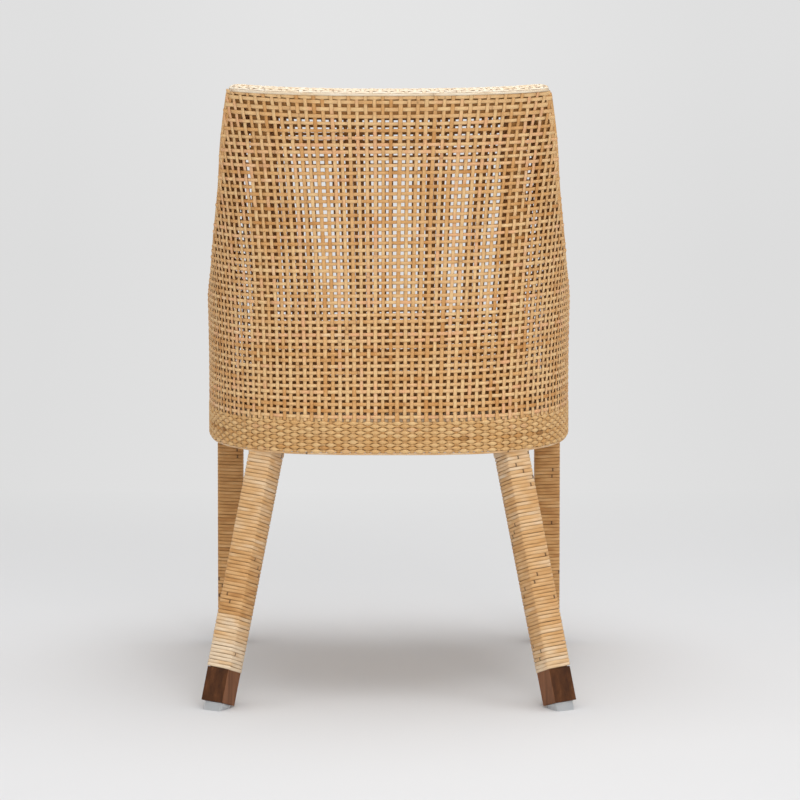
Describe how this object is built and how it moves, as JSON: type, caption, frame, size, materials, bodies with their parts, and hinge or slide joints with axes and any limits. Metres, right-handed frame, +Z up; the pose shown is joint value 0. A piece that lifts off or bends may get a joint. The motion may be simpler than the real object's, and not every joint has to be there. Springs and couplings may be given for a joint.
{
  "type": "side chair",
  "caption": "Woven rattan side chair with a wraparound back, arms that sweep down to the seat front, a loose seat cushion and splayed rear legs.",
  "frame": {"origin": "on the floor, under the middle of the chair's bounding box", "axes": "+Z is up, +Y is the way the chair faces, +X is the sitter's right when facing +Y"},
  "size_m": [0.5086, 0.5066, 0.8455],
  "materials": {
    "woven_peel_outer": "woven rattan peel, satin",
    "woven_peel_inner": "woven rattan peel in shade, satin",
    "woven_peel_band": "close-woven rattan peel, satin",
    "peel_binding": "flat rattan peel, satin",
    "peel_winding": "flat rattan peel wound on the legs, satin",
    "bent_pole": "bare bent rattan pole, matt",
    "frame_wood": "sawn beech, matt",
    "deck_plywood": "plywood, matt",
    "foot_cap_wood": "dark stained hardwood, satin",
    "clear_glide": "clear moulded plastic",
    "fastener_steel": "plated steel",
    "cushion_cover": "plain woven cover"
  },
  "bodies": {
    "root": {"outer_weave": "woven_peel_outer", "inner_weave": "woven_peel_inner", "base_band": "woven_peel_band", "rim_binding": "peel_binding", "bottom_binding": "peel_binding", "top_rail": "bent_pole", "side_rail_left": "bent_pole", "side_rail_right": "bent_pole", "back_post_left": "bent_pole", "back_post_right": "bent_pole", "seat_rail_front": "frame_wood", "seat_rail_rear": "frame_wood", "seat_rail_left": "frame_wood", "seat_rail_right": "frame_wood", "seat_deck": "deck_plywood", "seat_cushion": "cushion_cover", "corner_block_front_left": "frame_wood", "front_left_leg": "frame_wood", "front_left_leg_winding": "peel_winding", "front_left_foot_cap": "foot_cap_wood", "front_left_glide": "clear_glide", "front_left_glide_screw": "fastener_steel", "front_left_leg_bolt": "fastener_steel", "front_left_deck_screw": "fastener_steel", "corner_block_front_right": "frame_wood", "front_right_leg": "frame_wood", "front_right_leg_winding": "peel_winding", "front_right_foot_cap": "foot_cap_wood", "front_right_glide": "clear_glide", "front_right_glide_screw": "fastener_steel", "front_right_leg_bolt": "fastener_steel", "front_right_deck_screw": "fastener_steel", "corner_block_rear_left": "frame_wood", "rear_left_leg": "frame_wood", "rear_left_leg_winding": "peel_winding", "rear_left_foot_cap": "foot_cap_wood", "rear_left_glide": "clear_glide", "rear_left_glide_screw": "fastener_steel", "rear_left_leg_bolt": "fastener_steel", "rear_left_deck_screw": "fastener_steel", "corner_block_rear_right": "frame_wood", "rear_right_leg": "frame_wood", "rear_right_leg_winding": "peel_winding", "rear_right_foot_cap": "foot_cap_wood", "rear_right_glide": "clear_glide", "rear_right_glide_screw": "fastener_steel", "rear_right_leg_bolt": "fastener_steel", "rear_right_deck_screw": "fastener_steel"}
  },
  "joints": []
}
